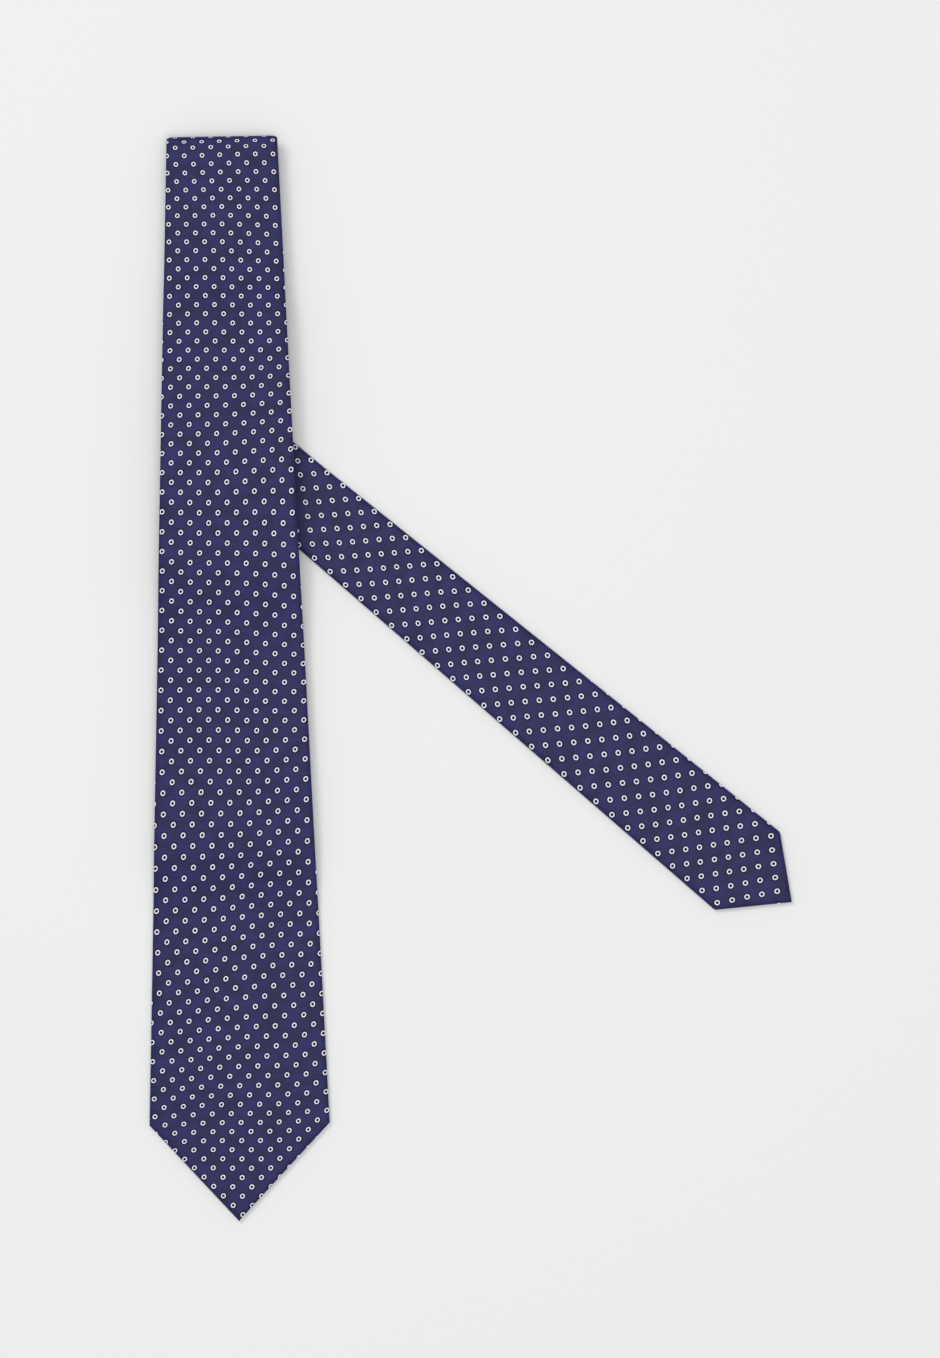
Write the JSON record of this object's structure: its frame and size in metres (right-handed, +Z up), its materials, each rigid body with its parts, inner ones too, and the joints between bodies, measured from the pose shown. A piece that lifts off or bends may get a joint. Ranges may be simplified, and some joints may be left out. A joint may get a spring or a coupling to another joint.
{
  "type": "necktie",
  "caption": "Long silk necktie folded and laid flat: a wide pointed blade hangs over a narrower tail that slants out to one side, all with a small ring pattern.",
  "frame": {"origin": "bottom centre of the bounding box of the tie as it lies folded on a table", "axes": "+Y from the blade's wide point to the top fold, +X towards the side the tail slants out to, +Z up out of the table, with the patterned face up"},
  "size_m": [0.2854, 0.481, 0.0123],
  "materials": {
    "printed_silk": "satin",
    "tipping_silk": "satin",
    "wool_interlining": "matte",
    "thread": "satin",
    "label_satin": "satin"
  },
  "bodies": {
    "inner_run": {"tail_shell_neck": "printed_silk", "slip_stitch_inner": "thread", "tail_interlining_neck": "wool_interlining", "inner_fold_shell": "printed_silk", "inner_fold_interlining": "wool_interlining", "tail_fold_shell": "printed_silk", "tail_fold_interlining": "wool_interlining"},
    "middle_run": {"tail_shell_upper": "printed_silk", "tail_seam_thread": "thread", "neck_shell_lower": "printed_silk", "slip_stitch_middle": "thread", "tail_interlining_upper": "wool_interlining", "blade_interlining_neck": "wool_interlining", "lower_fold_shell": "printed_silk", "lower_fold_interlining": "wool_interlining"},
    "back_run": {"blade_shell_back": "printed_silk", "neck_seam_thread": "thread", "neck_shell_upper": "printed_silk", "slip_stitch_back": "thread", "blade_interlining_back": "wool_interlining", "top_fold_shell": "printed_silk", "top_fold_interlining": "wool_interlining"},
    "front_blade": {"blade_shell_front": "printed_silk", "slip_stitch_front": "thread", "blade_interlining_front": "wool_interlining", "blade_tipping": "tipping_silk", "blade_bar_tack": "thread", "blank_label": "label_satin", "label_stitch_left": "thread", "label_stitch_right": "thread", "keeper_loop": "printed_silk", "keeper_stitch_left": "thread", "keeper_stitch_right": "thread"},
    "tail": {"tail_shell_tip": "printed_silk", "slip_stitch_tail": "thread", "tail_interlining_tip": "wool_interlining", "tail_tipping": "tipping_silk", "tail_bar_tack": "thread", "care_label": "label_satin", "care_label_stitch": "thread"}
  },
  "joints": [
    {"name": "inner_fold_hinge", "type": "hinge", "parent": "inner_run", "child": "middle_run", "pos_m": [-0.10275, 0.23525, 0.00225], "axis": [-1, 0, 0], "range_deg": [0, 165], "deforming": ["inner_fold_shell", "inner_fold_interlining"]},
    {"name": "lower_fold_hinge", "type": "hinge", "parent": "middle_run", "child": "back_run", "pos_m": [-0.10275, -0.03011, 0.00225], "axis": [1, 0, 0], "range_deg": [0, 165], "deforming": ["lower_fold_shell", "lower_fold_interlining"]},
    {"name": "top_fold_hinge", "type": "hinge", "parent": "back_run", "child": "front_blade", "pos_m": [-0.10275, 0.23825, 0.00705], "axis": [-1, 0, 0], "range_deg": [0, 170], "deforming": ["top_fold_shell", "top_fold_interlining"]},
    {"name": "tail_fold_hinge", "type": "hinge", "parent": "inner_run", "child": "tail", "pos_m": [-0.10275, 0.1071, 0.00285], "axis": [-0.4163, 0.9092, 0], "range_deg": [0, 165], "deforming": ["tail_fold_shell", "tail_fold_interlining"]}
  ],
  "couplings": [
    {"joint": "lower_fold_hinge", "follows": "inner_fold_hinge", "ratio": 1}
  ]
}
